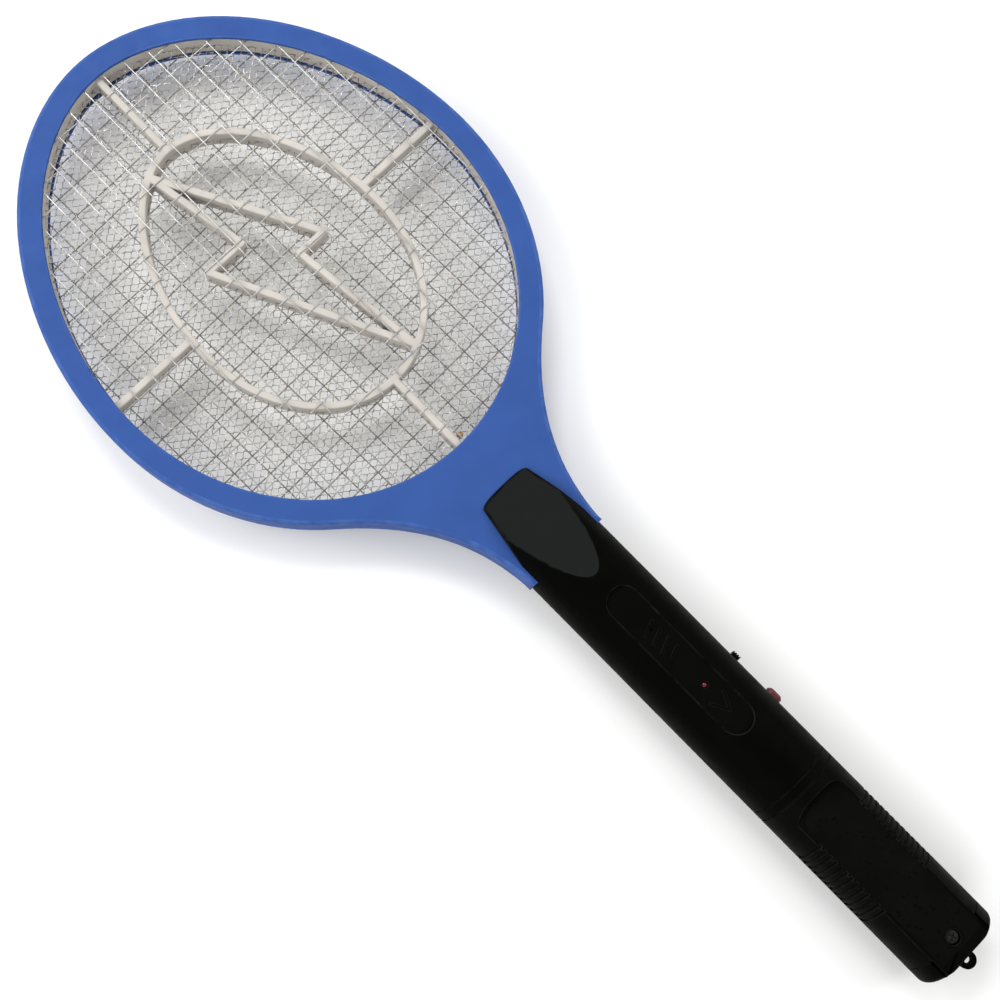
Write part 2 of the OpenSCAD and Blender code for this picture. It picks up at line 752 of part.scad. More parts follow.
module transistor() {
    color("black") on_axis() translate([3, st(board_u + 66), board_top]) {
        intersection() {
            translate([0, 0, 2.2]) cylinder(r = 2.4, h = 4.6);
            translate([-3, -1.3, 2]) cube([6, 4, 6]);
        }
        for (i = [-1 : 1]) translate([i * 1.27, 0, 0]) cylinder(r = 0.25, h = 2.4);
    }
}

// Slide switch: a case on the board with a slot, and the knob that slides in it and through the shell
knob_z = board_top + 2.6;
switch_h = 5;
case_x = handle_r - 8.5;
case_face = case_x + 4;
slot_len = slider_travel + 4.2 + 2 * rest_gap;
slot_mid_u = slider_u - slider_travel / 2;

module slide_switch_case() {
    color("silver") on_axis() difference() {
        block(slot_mid_u - slot_len / 2 - 1.2, slot_mid_u + slot_len / 2 + 1.2,
            case_x, case_face, board_top + 0.02, board_top + switch_h);
        block(slot_mid_u - slot_len / 2, slot_mid_u + slot_len / 2,
            case_face - 2, case_face + 1, knob_z - 1.2 - rest_gap, knob_z + 1.2 + rest_gap);
    }
}

module slide_knob() {
    tip = handle_r + stand_out;
    half = knob_size / 2;
    neck_x = inner_r - 1.3;
    color("#202020") on_axis() difference() {
        union() {
            block(slider_u - 2.1, slider_u + 2.1, case_face - 1.8, case_face, knob_z - 1.2, knob_z + 1.2);
            block(slider_u - 1, slider_u + 1, case_face - 0.5, neck_x + 0.5, knob_z - 1, knob_z + 1);
            block(slider_u - half, slider_u + half, neck_x, tip, knob_z - half, knob_z + half);
        }
        for (i = [-1 : 1]) block(slider_u + i * 1.05 - 0.2, slider_u + i * 1.05 + 0.2,
            tip - 0.4, tip + 1, knob_z - half - 1, knob_z + half + 1);
    }
}

// Push switch: a case on the board, its plunger, and the button that stands out of the shell
push_x = handle_r - 10.5;
push_face = push_x + 3.8;
flange_face = inner_r - 1;

module push_switch_case() {
    color("#303030") on_axis() difference() {
        block(button_u - 3, button_u + 3, push_x, push_face, board_top + 0.02, board_top + 6);
        translate([push_face - button_travel - 0.5, st(button_u), 0]) rotate([0, 90, 0]) cylinder(r = 1.85, h = 5);
    }
}

module switch_plunger() {
    color("black") on_axis() translate([push_face - 0.2, st(button_u), 0]) rotate([0, 90, 0])
        cylinder(r = 1.75, h = flange_face - 0.95 - push_face + 0.2);
}

module push_button() {
    color("red") on_axis() translate([0, st(button_u), 0]) rotate([0, 90, 0]) {
        translate([0, 0, flange_face - 0.9]) linear_extrude(0.9) stadium(button_len + 2, button_h + 2);
        translate([0, 0, flange_face - 0.1]) linear_extrude(handle_r + stand_out - flange_face - 0.5)
            stadium(button_len, button_h);
        translate([0, 0, flange_face]) linear_extrude(handle_r + stand_out - flange_face)
            stadium(button_len - 1.2, button_h - 1.2);
    }
}

// Battery cover: the front of the handle over the bay, with a flat pad and finger ribs
cover_screw_tip = cover_seat_z - 12;

module battery_cover() {
    first_rib_u = pad_u + 13.5;
    color("#191919") on_axis() difference() {
        union() {
            difference() {
                intersection() {
                    grip_form();
                    union() {
                        block(cover_u + rest_gap, cap_u, -handle_r - 1, handle_r + 1, rest_gap, handle_r + 1);
                        translate([0, 0, pad_z - shell_wall]) linear_extrude(handle_r) intersection() {
                            pad_plan(pad_u, -0.4);
                            translate([-handle_r, st(end_u)]) square([2 * handle_r, end_u - cap_u + 10]);
                        }
                    }
                }
                difference() {
                    grip_room();
                    block(cap_u - 10, end_u, -boss_r - 1.2, boss_r + 1.2, cover_seat_z - 2, handle_r);
                }
                block(end_u - end_wall - 0.5, end_u + 1, -handle_r, handle_r, 0, pad_z - shell_wall);
            }
            translate([0, st(cap_u), cover_seat_z - 2]) cylinder(r = boss_r + 1.2, h = 3.2);
        }
        for (i = [0 : rib_count - 1]) let (u = first_rib_u + i * rib_pitch) difference() {
            rod(u - rib_pitch / 4, u + rib_pitch / 4, handle_r + 1);
            rod(u - rib_pitch, u + rib_pitch, handle_r - 0.6);
        }
        translate([0, st(cap_u), cover_seat_z]) cylinder(r = screw_head_r + move_gap, h = handle_r);
        translate([0, st(cap_u), 0]) cylinder(r = screw_r + move_gap, h = handle_r);
    }
}

// A pan-head screw that points down from z = 0, with a cross recess
module pan_screw(length) {
    difference() {
        union() {
            translate([0, 0, -length]) cylinder(r = screw_r, h = length + 0.1);
            cylinder(r = screw_head_r, h = screw_head_h - 0.5);
            cylinder(r = screw_head_r - 0.5, h = screw_head_h);
        }
        for (a = [0, 90]) rotate(a) translate([-1.5, -0.3, screw_head_h - 0.9]) cube([3, 0.6, 2]);
    }
}

module cover_screw() {
    color("silver") on_axis() translate([0, st(cap_u), cover_seat_z + 0.05]) rotate(25) pan_screw(12);
}

module handle_screws() {
    color("silver") on_axis() {
        for (s = [-1, 1]) translate([s * tang_screw_x, st(tang_screw_u), screw_seat_z - 0.02])
            mirror([0, 0, 1]) rotate(s * 20) pan_screw(tang_screw_tip - screw_seat_z);
        translate([0, st(mid_screw_u), screw_seat_z - 0.02]) mirror([0, 0, 1])
            pan_screw(mid_screw_tip - screw_seat_z);
    }
}

// AA cell with its button towards +Y; a hollow can, as its filling is lighter than steel
module cell() {
    body = cell_len - nub_len;
    can = 1.1;
    rotate([-90, 0, 0]) difference() {
        union() {
            cylinder(d = cell_d, h = body);
            translate([0, 0, body - 0.1]) cylinder(d = nub_d, h = nub_len + 0.1);
        }
        translate([0, 0, can]) cylinder(d = cell_d - 2 * can, h = body - 2 * can);
    }
}

front_plate_u = bay_u + plate_t;
rear_plate_u = bay_end_u - plate_t;

module cell_left() {
    color("goldenrod") on_axis() translate([-cell_x, st(front_plate_u + 0.05 + cell_len), 0]) cell();
}

module cell_right() {
    color("goldenrod") on_axis() translate([cell_x, st(rear_plate_u - 0.05 - cell_len), 0])
        rotate(180) cell();
}

// Contact plates on the bay's two end walls
plate_half_w = cell_d / 2 - 1.8;
plate_half_h = 6;

module contact_positive() {
    color("lightgray") on_axis()
        block(bay_u, front_plate_u, -cell_x - plate_half_w, -cell_x + plate_half_w, -plate_half_h, plate_half_h);
}

module contact_negative() {
    color("lightgray") on_axis()
        block(bay_u, front_plate_u, cell_x - plate_half_w, cell_x + plate_half_w, -plate_half_h, plate_half_h);
}

module contact_link() {
    color("lightgray") on_axis() block(rear_plate_u, bay_end_u - 0.02,
        -cell_x - plate_half_w, cell_x + plate_half_w, -plate_half_h, plate_half_h);
}

// Conical contact springs, pressed between a plate and the flat end of a cell
function spring_route(turns, base_r, tip_r, length, steps) = [for (i = [0 : steps])
    let (f = i / steps, r = base_r + (tip_r - base_r) * f)
    [r * cos(360 * turns * f), length * f, r * sin(360 * turns * f)]];

module contact_springs() {
    wire = 0.8;
    coil = spring_len - wire - 0.1;
    route = spring_route(3.5, 4.2, 3, coil, 49);
    color("silver") on_axis() {
        translate([cell_x, st(front_plate_u + wire / 2 + 0.02), 0]) mirror([0, 1, 0])
            sweep(route, wire, 8, [0, 1, 0]);
        translate([-cell_x, st(rear_plate_u - wire / 2 - 0.02), 0]) sweep(route, wire, 8, [0, 1, 0]);
    }
}

module battery_leads() {
    color("firebrick") on_axis() for (s = [-1, 1]) sweep([
        [s * 4.6, st(bay_u - 0.05), 3], [s * 4.6, st(bay_u - 4), 3], [s * 4.6, st(bay_u - 9), 1.5],
        [s * 4.6, st(board_end_u + 6), 0.5], [s * 4.6, st(board_end_u), -1], [s * 4.6, st(board_end_u - 3), board_top + pad_clear]
    ], lead_d);
}

frame_front();
frame_rear();
front_guard();
live_mesh();
rear_guard();
front_spacer();
rear_spacer();
contact_eyelet();
live_lead();
ground_leads();
handle_front();
handle_rear();
label_panel();
led();
circuit_board();
transformer_core();
transformer_coil();
storage_capacitors();
rectifier_diodes();
resistors();
transistor();
slide_switch_case();
slide_knob();
push_switch_case();
switch_plunger();
push_button();
battery_cover();
cover_screw();
cell_left();
cell_right();
contact_positive();
contact_negative();
contact_link();
contact_springs();
battery_leads();
handle_screws();
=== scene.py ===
"""Looks of the electric fly swatter: moulded edges, wire guards, live mesh, cells and a small studio."""

import math
import random

import bmesh
import bpy
from mathutils import Matrix, Vector


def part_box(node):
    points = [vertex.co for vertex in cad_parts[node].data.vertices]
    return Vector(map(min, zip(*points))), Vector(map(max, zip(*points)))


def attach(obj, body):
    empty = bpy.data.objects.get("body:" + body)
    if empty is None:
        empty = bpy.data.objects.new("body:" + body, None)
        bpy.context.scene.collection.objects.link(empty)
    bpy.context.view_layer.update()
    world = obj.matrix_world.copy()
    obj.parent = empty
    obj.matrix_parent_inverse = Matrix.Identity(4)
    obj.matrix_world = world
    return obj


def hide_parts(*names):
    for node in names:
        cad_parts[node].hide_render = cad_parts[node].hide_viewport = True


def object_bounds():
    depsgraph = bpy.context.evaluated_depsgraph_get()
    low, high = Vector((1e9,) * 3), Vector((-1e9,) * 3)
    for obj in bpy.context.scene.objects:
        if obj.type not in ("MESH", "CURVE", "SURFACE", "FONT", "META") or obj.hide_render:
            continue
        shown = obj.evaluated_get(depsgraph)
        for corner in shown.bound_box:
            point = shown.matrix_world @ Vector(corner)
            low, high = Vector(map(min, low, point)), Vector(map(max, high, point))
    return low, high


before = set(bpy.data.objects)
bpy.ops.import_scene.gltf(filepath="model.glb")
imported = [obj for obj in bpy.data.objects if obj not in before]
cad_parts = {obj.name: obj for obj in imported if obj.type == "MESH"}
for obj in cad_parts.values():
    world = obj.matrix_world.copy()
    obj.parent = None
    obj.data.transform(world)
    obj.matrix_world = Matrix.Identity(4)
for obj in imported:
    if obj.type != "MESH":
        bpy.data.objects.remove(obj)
cad_low, cad_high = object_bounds()

MM = 0.001
UP = Vector((0, 0, 1))
ALONG = Vector((0, 1, 0))

# Heights and stations that the pieces are worked out from
MIDDLE_Z = sum(corner.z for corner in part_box("live_mesh")) / 2
FACE_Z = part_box("frame_front")[1].z
TONGUE_TIP_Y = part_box("handle_front")[1].y

# Colours, as linear red, green and blue
FLOOR_WHITE = (0.95, 0.95, 0.945)
FRAME_BLUE = (0.024, 0.074, 0.275)
RUBBED_BLUE = (0.07, 0.15, 0.42)
HANDLE_BLACK = (0.0012, 0.0013, 0.001)
# Painted reflection: the handle's facet is painted this lighter grey
FACET_PAINTED_GLEAM = (0.0112, 0.0122, 0.0118)
INLAY_BLACK = (0.0022, 0.0022, 0.002)
KNOB_BLACK = (0.004, 0.004, 0.004)
COVER_BLACK = (0.002, 0.0021, 0.0018)
PAD_BLACK = (0.003, 0.003, 0.0026)
# Painted sheen: the black mouldings turn this olive where they face away from view
PAINTED_SHEEN_OLIVE = (0.007, 0.007, 0.0045)
RUBBED_GREY = (0.02, 0.02, 0.019)
SPACER_CREAM = (0.52, 0.49, 0.45)
FRONT_WIRE = (0.56, 0.56, 0.55)
FRONT_WIRE_DULL = (0.33, 0.32, 0.3)
# Painted shade: the rear guard's wire is painted darker than the front guard's
REAR_WIRE_PAINTED_SHADE = (0.2, 0.2, 0.19)
REAR_WIRE_DULL_PAINTED_SHADE = (0.12, 0.11, 0.1)
LIVE_ALUMINIUM = (0.37, 0.345, 0.31)
EYELET_BRASS = (0.62, 0.36, 0.14)
SCREW_STEEL = (0.035, 0.035, 0.036)
CAN_STEEL = (0.68, 0.68, 0.67)
PLATE_STEEL = (0.66, 0.66, 0.64)
SWITCH_STEEL = (0.6, 0.6, 0.58)
LAMP_RED = (0.1, 0.003, 0.012)
BUTTON_RED = (0.1, 0.002, 0.008)
LEAD_RED = (0.5, 0.03, 0.02)
LEAD_BLACK = (0.02, 0.02, 0.02)
BOARD_BROWN = (0.4, 0.22, 0.07)
FERRITE_GREY = (0.045, 0.045, 0.05)
TAPE_YELLOW = (0.72, 0.46, 0.07)
CAPACITOR_BROWN = (0.3, 0.08, 0.03)
RESISTOR_TAN = (0.6, 0.42, 0.25)
COMPONENT_BLACK = (0.02, 0.02, 0.02)
PLUNGER_BLACK = (0.03, 0.03, 0.03)
JACKET_GREEN = (0.035, 0.16, 0.07)
BAND_WHITE = (0.62, 0.62, 0.58)


# ---------------------------------------------------------------- camera, lights and floor

CAMERA_FROM = Vector((-0.161, -0.065, 1.0)).normalized()
CAMERA_AIM = Vector((-0.0029, 0.0053, MIDDLE_Z))
CAMERA_DISTANCE = 0.529
CAMERA_LENS = 53.55
CAMERA_SENSOR = 36.0
CAMERA_ROLL = math.radians(45.28)
NEAREST_SEEN = 0.01

SKY_STRENGTH = 0.38
# Place, width, height and watts of each softbox, which faces the origin
SOFTBOXES = {
    "key_softbox": ((-0.65, 0.8, 0.75), 1.2, 0.9, 11),
    "fill_softbox": ((1.0, -0.35, 0.85), 1.1, 1.0, 8.5),
    "head_softbox": ((0.3, 0.75, 1.1), 0.5, 0.4, 6.5),
    "low_softbox": ((-0.9, -0.6, 0.85), 1.1, 0.9, 6),
}

FLOOR_REACH = 4.0
FLOOR_GAP = 0.0002


def make_camera():
    """The handle points down to the right, and the roll is its angle below level."""
    back = CAMERA_FROM
    handle = (-ALONG - back * (-ALONG).dot(back)).normalized()
    right = handle * math.cos(CAMERA_ROLL) + back.cross(handle) * math.sin(CAMERA_ROLL)
    turn = Matrix((right, back.cross(right), back)).transposed()
    camera = bpy.data.objects.new("camera", bpy.data.cameras.new("camera"))
    camera.data.lens = CAMERA_LENS
    camera.data.sensor_width = CAMERA_SENSOR
    camera.data.clip_start = NEAREST_SEEN
    camera.matrix_world = Matrix.Translation(CAMERA_AIM + back * CAMERA_DISTANCE) @ turn.to_4x4()
    bpy.context.scene.collection.objects.link(camera)
    bpy.context.scene.camera = camera


def make_softbox(name, place, width, height, watts):
    light = bpy.data.lights.new(name, "AREA")
    light.shape = "RECTANGLE"
    light.size = width
    light.size_y = height
    light.energy = watts
    box = bpy.data.objects.new(name, light)
    box.location = place
    box.rotation_euler = (-Vector(place)).to_track_quat("-Z", "Y").to_euler()
    bpy.context.scene.collection.objects.link(box)


def make_studio():
    """An even pale sky with four softboxes."""
    world = bpy.data.worlds.new("studio")
    world.use_nodes = True
    sky = world.node_tree.nodes["Background"]
    sky.inputs["Color"].default_value = (1, 1, 1, 1)
    sky.inputs["Strength"].default_value = SKY_STRENGTH
    bpy.context.scene.world = world
    for name, settings in SOFTBOXES.items():
        make_softbox(name, *settings)
    bpy.context.scene.view_settings.view_transform = "Standard"


def make_floor():
    mesh = bpy.data.meshes.new("floor")
    reach = FLOOR_REACH
    mesh.from_pydata([(-reach, -reach, 0), (reach, -reach, 0), (reach, reach, 0), (-reach, reach, 0)],
                     [], [(0, 1, 2, 3)])
    floor = bpy.data.objects.new("floor", mesh)
    floor.location.z = cad_low.z - FLOOR_GAP
    bpy.context.scene.collection.objects.link(floor)
    floor.data.materials.append(floor_card())


# ---------------------------------------------------------------- material helpers

def fill(tree, node, inputs, settings):
    """Sets a node's own settings, then links or sets its inputs."""
    for key, value in settings.items():
        setattr(node, key, value)
    for key, value in dict(inputs).items():
        if isinstance(value, bpy.types.NodeSocket):
            tree.links.new(value, node.inputs[key])
        else:
            node.inputs[key].default_value = value
    return node


class Finish:
    """One node material: a Principled shader whose patterns read Object coordinates."""

    def __init__(self, name, color, roughness, **sockets):
        self.material = bpy.data.materials.new(name)
        self.material.use_nodes = True
        self.tree = self.material.node_tree
        self.links = self.tree.links
        self.shader = self.tree.nodes["Principled BSDF"]
        self.shader.inputs["Base Color"].default_value = (*color, 1)
        self.shader.inputs["Roughness"].default_value = roughness
        for label, value in sockets.items():
            self.shader.inputs[label.replace("_", " ")].default_value = value
        self.color = color
        self.painted = color
        self.place = self.tree.nodes.new("ShaderNodeTexCoord").outputs["Object"]
        self.height = None

    def add(self, kind, inputs=(), **settings):
        return fill(self.tree, self.tree.nodes.new(kind), inputs, settings)

    def noise(self, size, detail=2.0, stretch=(1, 1, 1), seed=0.0):
        """Noise whose lumps are about size metres across."""
        spread = self.add("ShaderNodeMapping", {"Vector": self.place, "Scale": stretch,
                                                "Location": (seed, seed * 0.7, seed * 1.3)})
        return self.add("ShaderNodeTexNoise", {"Vector": spread.outputs[0], "Scale": 1 / size,
                                               "Detail": detail}).outputs["Fac"]

    def ramp(self, source, low, high, start=0.3, stop=0.7):
        """Colours or greys from low to high as the source goes from start to stop."""
        ramp = self.add("ShaderNodeValToRGB", {"Fac": source})
        for position, value, element in zip((start, stop), (low, high), ramp.color_ramp.elements):
            element.position = position
            element.color = (*value, 1) if isinstance(value, tuple) else (value, value, value, 1)
        return ramp.outputs["Color"]

    def mix(self, factor, first, second):
        node = self.add("ShaderNodeMix", data_type="RGBA")
        for socket, value in ((node.inputs[0], factor), (node.inputs[6], first), (node.inputs[7], second)):
            if isinstance(value, bpy.types.NodeSocket):
                self.links.new(value, socket)
            else:
                socket.default_value = value if isinstance(value, float) else (*value, 1)
        return node.outputs[2]

    def shade(self, lighter, darker, size, seed=0.0, start=0.3, stop=0.7):
        """Base colour that drifts between a darker and a lighter share of itself."""
        low = tuple(c * darker for c in self.color)
        high = tuple(min(1.0, c * lighter) for c in self.color)
        self.paint(self.ramp(self.noise(size, 4, seed=seed), low, high, start, stop))

    def paint(self, source):
        self.links.new(source, self.shader.inputs["Base Color"])
        self.painted = source

    def rough(self, source, low, high):
        self.links.new(self.ramp(source, low, high), self.shader.inputs["Roughness"])

    def marked(self, label):
        """The mark that mark_faces() left on a piece's faces."""
        return self.add("ShaderNodeAttribute", attribute_name=label).outputs["Fac"]

    def wear(self, color, amount=0.5):
        """Edges that hands and tables have rubbed lighter."""
        patches = self.ramp(self.noise(0.004, 3, seed=5), 0.0, amount)
        rub = self.add("ShaderNodeMath", {0: patches, 1: self.marked("rubbed")}, operation="MULTIPLY")
        self.paint(self.mix(rub.outputs[0], self.painted, color))

    def bump(self, source, depth, strength=1.0):
        """Relief of the given depth in metres, on top of what is there."""
        node = self.add("ShaderNodeBump", {"Height": source, "Distance": depth, "Strength": strength})
        if self.height:
            self.links.new(self.height, node.inputs["Normal"])
        self.height = node.outputs["Normal"]
        self.links.new(self.height, self.shader.inputs["Normal"])


# ---------------------------------------------------------------- materials

def floor_card():
    card = Finish("floor_card", FLOOR_WHITE, 0.9, Specular_IOR_Level=0.1)
    card.shade(1.0, 0.985, 0.4)
    return card.material


def frame_plastic(name, seed):
    """Matt blue moulding with a fine spark-eroded grain and faint flow marks."""
    blue = Finish(name, FRAME_BLUE, 0.6, Specular_IOR_Level=0.2)
    blue.shade(1.07, 0.93, 0.02, seed)
    blue.wear(RUBBED_BLUE)
    blue.rough(blue.noise(0.006, 3, seed=seed), 0.56, 0.7)
    blue.bump(blue.noise(0.00055, 2, seed=seed), 0.00006, 0.5)
    blue.bump(blue.noise(0.012, 2, (1, 0.3, 1), seed), 0.0002, 0.25)
    return blue.material


def black_moulding(name, color, roughness, grain, depth, seed=0.0):
    """Matt black moulding, with a painted olive sheen where the surface turns away from view."""
    black = Finish(name, color, roughness, Specular_IOR_Level=0.015)
    black.shade(1.25, 0.8, 0.015, seed)
    # Painted sheen: the colour turns olive towards the edges that face away from view
    grazing = black.add("ShaderNodeLayerWeight", {"Blend": 0.35}).outputs["Facing"]
    black.paint(black.mix(black.ramp(grazing, 0.0, 1.0, 0.25, 0.9), black.painted, PAINTED_SHEEN_OLIVE))
    black.wear(RUBBED_GREY, 0.6)
    black.rough(black.noise(0.005, 3, seed=seed), roughness - 0.06, roughness + 0.1)
    black.bump(black.noise(grain, 2, seed=seed), depth, 0.6)
    return black


def handle_black():
    """The handle's black, with the facet painted lighter grey as a painted reflection of the light on the
    head's side.
    """
    black = black_moulding("handle_black", HANDLE_BLACK, 0.5, 0.0005, 0.00005)
    # Painted reflection: the facet is painted lighter than the rest of the handle
    black.paint(black.mix(black.marked("facet"), black.painted, FACET_PAINTED_GLEAM))
    return black.material


def spacer_plastic():
    """Cream nylon that lets a little light through."""
    cream = Finish("spacer_cream", SPACER_CREAM, 0.5, Subsurface_Weight=0.4,
                   Subsurface_Radius=(0.003, 0.0027, 0.0024), Specular_IOR_Level=0.3)
    cream.shade(1.08, 0.9, 0.012)
    cream.bump(cream.noise(0.0007, 2), 0.00004, 0.5)
    return cream.material


def drawn_wire(name, color, roughness, dull):
    """Drawn steel wire: fine scratches along it and a few dull spots."""
    wire = Finish(name, color, roughness, Metallic=1.0)
    wire.paint(wire.mix(wire.ramp(wire.noise(0.003, 4), 0.0, 1.0, 0.45, 0.7), color, dull))
    wire.rough(wire.noise(0.0012, 3, (1, 1, 4)), roughness - 0.1, roughness + 0.12)
    wire.bump(wire.noise(0.0002, 2), 0.00001, 0.5)
    return wire.material


def live_metal():
    """Slit and stretched aluminium: each strand takes the light its own way."""
    metal = Finish("live_aluminium", LIVE_ALUMINIUM, 0.32, Metallic=1.0)
    metal.shade(1.9, 0.5, 0.0015, start=0.4, stop=0.6)
    metal.rough(metal.noise(0.0015, 2, seed=3), 0.18, 0.45)
    return metal.material


def brass():
    """Rolled brass whose tone drifts darker and lighter in small patches."""
    metal = Finish("eyelet_brass", EYELET_BRASS, 0.32, Metallic=1.0)
    metal.shade(1.15, 0.6, 0.0008)
    metal.rough(metal.noise(0.0004, 2), 0.22, 0.45)
    return metal.material


def turned_steel(name, color, roughness=0.32):
    """Plated steel with fine stamping lines and a slight stain."""
    steel = Finish(name, color, roughness, Metallic=1.0)
    steel.shade(1.1, 0.8, 0.002)
    steel.rough(steel.noise(0.0006, 3, (1, 6, 1)), roughness - 0.08, roughness + 0.15)
    steel.bump(steel.noise(0.0003, 2, (1, 8, 1)), 0.00001, 0.4)
    return steel.material


def lead_skin(name, color):
    """Soft insulation of a thin lead."""
    skin = Finish(name, color, 0.35)
    skin.shade(1.2, 0.8, 0.006)
    skin.bump(skin.noise(0.0008, 2), 0.00003, 0.4)
    return skin.material


def clear_red(name, color, roughness, coat):
    """Red of the lamp and the button, with a soft shine."""
    red = Finish(name, color, roughness, Coat_Weight=coat, Coat_Roughness=0.15)
    red.shade(1.15, 0.85, 0.002)
    red.bump(red.noise(0.0005, 2), 0.00003, 0.4)
    return red.material


def board_laminate():
    """Phenolic board with paper fibres."""
    board = Finish("board_phenolic", BOARD_BROWN, 0.45)
    board.shade(1.2, 0.8, 0.0015)
    board.bump(board.noise(0.0004, 3, (1, 5, 1)), 0.00003, 0.5)
    return board.material


def part_coat(name, color, roughness):
    """Dipped or moulded coat of a small electrical part."""
    coat = Finish(name, color, roughness)
    coat.shade(1.2, 0.75, 0.003)
    coat.rough(coat.noise(0.002, 3), max(0.05, roughness - 0.1), roughness + 0.12)
    coat.bump(coat.noise(0.0006, 2), 0.00005, 0.5)
    return coat.material


def cell_jacket():
    """Shrunk plastic jacket: green, with a white band at the end with the nub."""
    jacket = Finish("cell_green", JACKET_GREEN, 0.25, Coat_Weight=0.5, Coat_Roughness=0.1)
    jacket.shade(1.1, 0.9, 0.01)
    jacket.paint(jacket.mix(jacket.marked("band"), jacket.painted, BAND_WHITE))
    jacket.bump(jacket.noise(0.004, 3), 0.00005, 0.4)
    return jacket.material


# ---------------------------------------------------------------- mesh helpers

# Edges that turn more than this are rounded
CREASE = math.radians(28)
# Slots that tell a piece's own faces from its rounded edges until the piece gets its finish
BODY_OR_EDGE = [bpy.data.materials.new(side) for side in ("body", "edge")]


def new_object(name, mesh):
    obj = bpy.data.objects.new(name, mesh)
    bpy.context.scene.collection.objects.link(obj)
    return obj


def from_bmesh(name, bm):
    mesh = bpy.data.meshes.new(name)
    bm.to_mesh(mesh)
    bm.free()
    return new_object(name, mesh)


def plain(obj):
    """Turns an object's modifiers into its own mesh."""
    bpy.context.view_layer.update()
    graph = bpy.context.evaluated_depsgraph_get()
    mesh = bpy.data.meshes.new_from_object(obj.evaluated_get(graph))
    obj.modifiers.clear()
    obj.data = mesh
    return obj


def merged(node, whole_faces=True, finest=0.004):
    """A bmesh copy of a CAD node, its triangles joined. Corners closer than finest, in mm, become one."""
    bm = bmesh.new()
    bm.from_mesh(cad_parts[node].data)
    bmesh.ops.remove_doubles(bm, verts=bm.verts, dist=finest * MM)
    bmesh.ops.dissolve_degenerate(bm, edges=bm.edges, dist=finest * MM)
    if whole_faces:
        bmesh.ops.dissolve_limit(bm, angle_limit=math.radians(0.6), verts=bm.verts, edges=bm.edges)
    return bm


def mark_faces(obj, label, chosen):
    """Stores 1 on the chosen faces and 0 on the rest, for a finish to read."""
    mark = obj.data.attributes.new(label, "FLOAT", "FACE")
    mark.data.foreach_set("value", [float(chosen(face)) for face in obj.data.polygons])


def softened(node, name, radius, segments=3, whole_faces=True, finest=0.04, clamp=False):
    """A copy of a node with rounded edges. radius is millimetres, or a function of the edge's middle."""
    bm = merged(node, whole_faces, finest)
    radius_at = radius if callable(radius) else (lambda middle, edge: radius)
    layer = bm.edges.layers.float.new("bevel_weight_edge")
    widths = {}
    for edge in bm.edges:
        if len(edge.link_faces) == 2 and edge.calc_face_angle(0) > CREASE:
            middle = (edge.verts[0].co + edge.verts[1].co) / 2
            width = radius_at(middle / MM, edge)
            if width:
                widths[edge] = width
    widest = max(widths.values(), default=0.1)
    for edge, width in widths.items():
        edge[layer] = width / widest
    obj = from_bmesh(name, bm)
    for side in BODY_OR_EDGE:
        obj.data.materials.append(side)
    bevel = obj.modifiers.new("edges", "BEVEL")
    bevel.material = 1
    bevel.limit_method = "WEIGHT"
    bevel.width = widest * MM
    bevel.segments = segments
    bevel.use_clamp_overlap = clamp
    bevel.loop_slide = False
    plain(obj)
    mark_faces(obj, "rubbed", lambda face: face.material_index == 1)
    return smooth(obj)


def smooth(obj, crease=32.0):
    """Smooth shading that keeps flat faces flat beside their rounded edges."""
    obj.data.shade_smooth()
    obj.data.set_sharp_from_angle(angle=math.radians(crease))
    weighted = obj.modifiers.new("normals", "WEIGHTED_NORMAL")
    weighted.keep_sharp = True
    return plain(obj)


def tube_copy(node, name):
    """A copy of a swept lead, smoothed round."""
    obj = from_bmesh(name, merged(node))
    surface = obj.modifiers.new("round", "SUBSURF")
    surface.levels = surface.render_levels = 2
    plain(obj)
    obj.data.shade_smooth()
    return obj


def lathe(name, profile, start, along, steps=64):
    """A closed turned solid. The profile lists (radius, distance along the axis) in millimetres."""
    bm = bmesh.new()
    along = along.normalized()
    side = along.orthogonal().normalized()
    across = along.cross(side)
    rings = []
    for radius, distance in profile:
        centre = start + along * distance * MM
        if radius == 0:
            rings.append([bm.verts.new(centre)] * steps)
            continue
        rings.append([bm.verts.new(centre + (side * math.cos(a) + across * math.sin(a)) * radius * MM)
                      for a in (i * math.tau / steps for i in range(steps))])
    for lower, upper in zip(rings, rings[1:]):
        for i in range(steps):
            j = (i + 1) % steps
            corners = list(dict.fromkeys([lower[i], lower[j], upper[j], upper[i]]))
            if len(corners) > 2:
                bm.faces.new(corners)
    bmesh.ops.recalc_face_normals(bm, faces=bm.faces)
    return smooth(from_bmesh(name, bm), 40)


def show(piece, body, slot, material, *nodes):
    """Gives a piece its finish and its body, and hides the CAD nodes that it stands for."""
    piece.data.materials.clear()
    piece.data.materials.append(material)
    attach(piece, body)
    if nodes:
        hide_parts(*nodes)


# ---------------------------------------------------------------- geometry node trees

